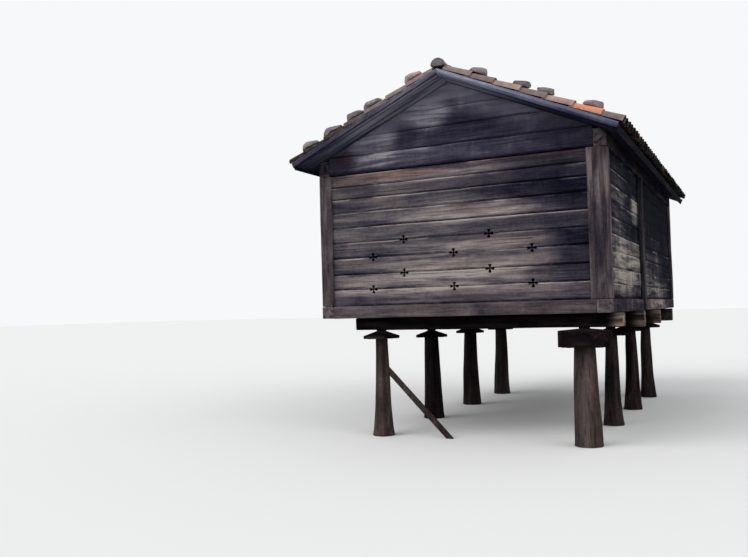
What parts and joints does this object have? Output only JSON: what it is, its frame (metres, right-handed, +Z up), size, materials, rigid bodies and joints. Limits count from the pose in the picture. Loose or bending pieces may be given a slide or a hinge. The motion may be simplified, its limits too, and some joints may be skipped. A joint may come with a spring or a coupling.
{
  "type": "raised granary",
  "caption": "Weathered plank granary raised on tapered wooden legs with round rat guards, cross-shaped vents and a low tiled gable roof held by flat stones",
  "frame": {"origin": "middle of the footprint, at the level of the feet", "axes": "+X to the right along the front wall, +Y from the front to the back, +Z up"},
  "size_m": [4.8326, 8.1366, 5.1775],
  "materials": {
    "leg_wood": "rough hewn, weathered grey-brown",
    "guard_wood": "rough hewn, dark",
    "beam_wood": "rough hewn, weathered",
    "sill_wood": "rough sawn, weathered grey",
    "floor_wood": "rough sawn, dark",
    "post_wood": "rough sawn, weathered grey",
    "plank_wood": "rough sawn, weathered blue-grey with dark streaks",
    "gable_wood": "rough sawn, weathered dark blue-grey",
    "roof_board_wood": "rough sawn, dark",
    "barge_wood": "rough sawn, weathered light grey",
    "clay_tile": "matt fired clay, faded",
    "ridge_clay": "matt fired clay, darkened",
    "field_stone": "rough"
  },
  "bodies": {
    "root": {"bargeboard_back_left": "barge_wood", "bargeboard_back_right": "barge_wood", "bargeboard_front_left": "barge_wood", "bargeboard_front_right": "barge_wood", "beam_back": "beam_wood", "beam_front": "beam_wood", "beam_second": "beam_wood", "beam_third": "beam_wood", "corner_post_back_left": "post_wood", "corner_post_back_right": "post_wood", "corner_post_front_left": "post_wood", "corner_post_front_right": "post_wood", "eave_board_left": "roof_board_wood", "eave_board_right": "roof_board_wood", "floor_boards": "floor_wood", "gable_back": "gable_wood", "gable_front": "gable_wood", "guards_back": "guard_wood", "guards_front": "guard_wood", "guards_second": "guard_wood", "guards_third": "guard_wood", "leg_prop": "leg_wood", "legs_back": "leg_wood", "legs_front": "leg_wood", "legs_second": "leg_wood", "legs_third": "leg_wood", "mid_post_left": "post_wood", "mid_post_right": "post_wood", "ridge_beam": "beam_wood", "ridge_tiles": "ridge_clay", "roof_boards_left": "roof_board_wood", "roof_boards_right": "roof_board_wood", "roof_stones": "field_stone", "sill_back": "sill_wood", "sill_front": "sill_wood", "sill_left": "sill_wood", "sill_right": "sill_wood", "tiles_left": "clay_tile", "tiles_right": "clay_tile", "wall_back": "plank_wood", "wall_front": "plank_wood", "wall_left": "plank_wood", "wall_plate_left": "beam_wood", "wall_plate_right": "beam_wood", "wall_right": "plank_wood"}
  },
  "joints": []
}
